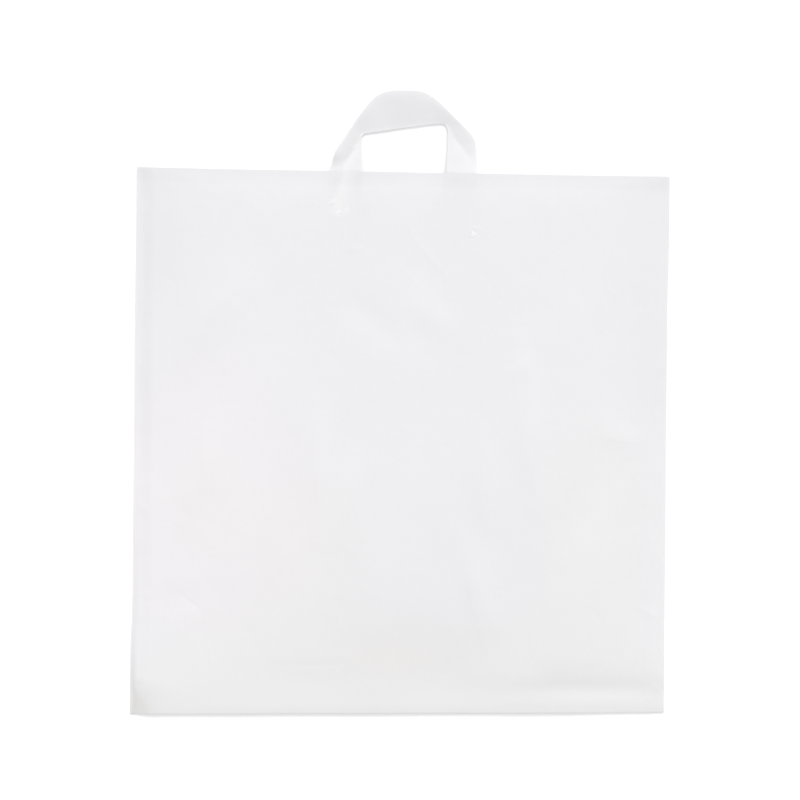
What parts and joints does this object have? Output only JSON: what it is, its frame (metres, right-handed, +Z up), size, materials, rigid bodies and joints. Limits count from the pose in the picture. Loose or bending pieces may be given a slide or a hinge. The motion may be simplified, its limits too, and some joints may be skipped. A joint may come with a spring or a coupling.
{
  "type": "plastic carrier bag",
  "caption": "Flat square carrier bag of milky plastic film with a bottom gusset and soft loop handles, lying on its back.",
  "frame": {"origin": "centre of the whole outline, on the surface that the bag lies on", "axes": "+Y from the bottom fold towards the handles, +X across the bag, +Z up out of the front wall"},
  "size_m": [0.5, 0.5837, 0.0112],
  "materials": {
    "bag_body": "milky translucent film, satin",
    "handle_front": "milky translucent film, satin",
    "handle_back": "milky translucent film, satin"
  },
  "bodies": {
    "root": {"bag_body": "bag_body", "handle_front": "handle_front", "handle_back": "handle_back"}
  },
  "joints": []
}
